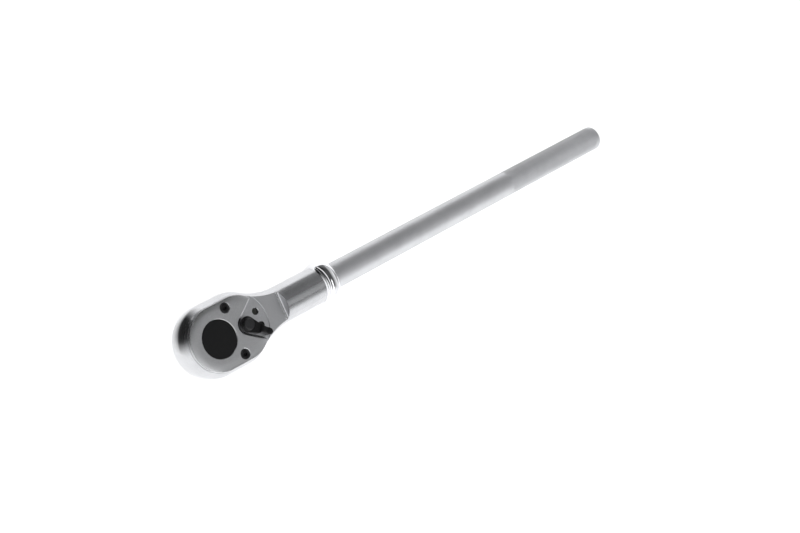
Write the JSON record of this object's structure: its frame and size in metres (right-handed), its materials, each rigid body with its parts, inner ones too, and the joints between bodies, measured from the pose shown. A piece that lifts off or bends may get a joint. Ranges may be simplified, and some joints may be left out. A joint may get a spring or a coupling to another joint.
{
  "type": "reversible ratchet wrench",
  "caption": "Heavy reversible ratchet wrench: forged head with a square drive, reversing lever, and a plug-in tubular handle with a knurled grip.",
  "frame": {"origin": "on the drive axis, at the shoulder where the drive square leaves the ratchet wheel", "axes": "+X along the handle, away from the head; +Z along the drive axis, towards the cover plate and the reversing lever; the drive square points to -Z"},
  "size_m": [0.5527, 0.0674, 0.0599],
  "materials": {
    "satin_chrome": "satin, blasted before plating",
    "satin_chrome_plate": "satin, fine ground face",
    "satin_chrome_tube": "satin",
    "bright_chrome": "mirror polish",
    "black_steel": "black oxide, satin",
    "black_screw": "black oxide",
    "black_lever": "black, semi-gloss",
    "bare_steel": "ground steel",
    "spring_steel": "drawn wire",
    "bronze": "bronze bearing metal",
    "nitrile": "matt"
  },
  "bodies": {
    "head": {"head_body": "satin_chrome", "cover_plate": "satin_chrome_plate", "cover_screw_left": "black_screw", "cover_screw_right": "black_screw", "wheel_thrust_washer": "bronze", "pawl_pin_left": "bare_steel", "pawl_pin_right": "bare_steel", "handle_collar": "bright_chrome"},
    "drive": {"ratchet_wheel": "black_steel", "wheel_friction_ring": "spring_steel", "socket_ball_spring": "spring_steel"},
    "ball": {"socket_ball": "bare_steel"},
    "lever": {"reversing_lever": "black_lever", "cam_spindle": "black_lever", "spindle_seal": "nitrile"},
    "left_pawl": {"pawl_left": "bare_steel", "pawl_spring": "spring_steel"},
    "right_pawl": {"pawl_right": "bare_steel"},
    "handle": {"handle_tube": "satin_chrome_tube", "handle_friction_ring": "spring_steel", "end_plug": "satin_chrome_tube"}
  },
  "joints": [
    {"name": "drive_spin", "type": "hinge", "parent": "head", "child": "drive", "pos_m": [0, 0, 0], "axis": [0, 0, 1], "continuous": true},
    {"name": "ball_press", "type": "slide", "parent": "drive", "child": "ball", "axis": [1, 0, 0], "range_m": [0, 0.0012], "stiffness_N_per_m": 4000, "springref_m": -0.0006, "deforming": ["socket_ball_spring"]},
    {"name": "lever_turn", "type": "hinge", "parent": "head", "child": "lever", "pos_m": [0.031, 0, 0], "axis": [0, 0, 1], "range_deg": [0, 84]},
    {"name": "left_pawl_swing", "type": "hinge", "parent": "head", "child": "left_pawl", "pos_m": [0.0458, 0.0066, 0], "axis": [0, 0, 1], "range_deg": [0, 7], "deforming": ["pawl_spring"]},
    {"name": "right_pawl_swing", "type": "hinge", "parent": "head", "child": "right_pawl", "pos_m": [0.0458, -0.0066, 0], "axis": [0, 0, 1], "range_deg": [0, 7]},
    {"name": "handle_pull", "type": "slide", "parent": "head", "child": "handle", "axis": [1, 0, 0], "range_m": [0, 0.04]}
  ],
  "couplings": [
    {"joint": "left_pawl_swing", "follows": "lever_turn", "ratio": 0.083333},
    {"joint": "right_pawl_swing", "follows": "lever_turn", "ratio": 0.083333}
  ]
}
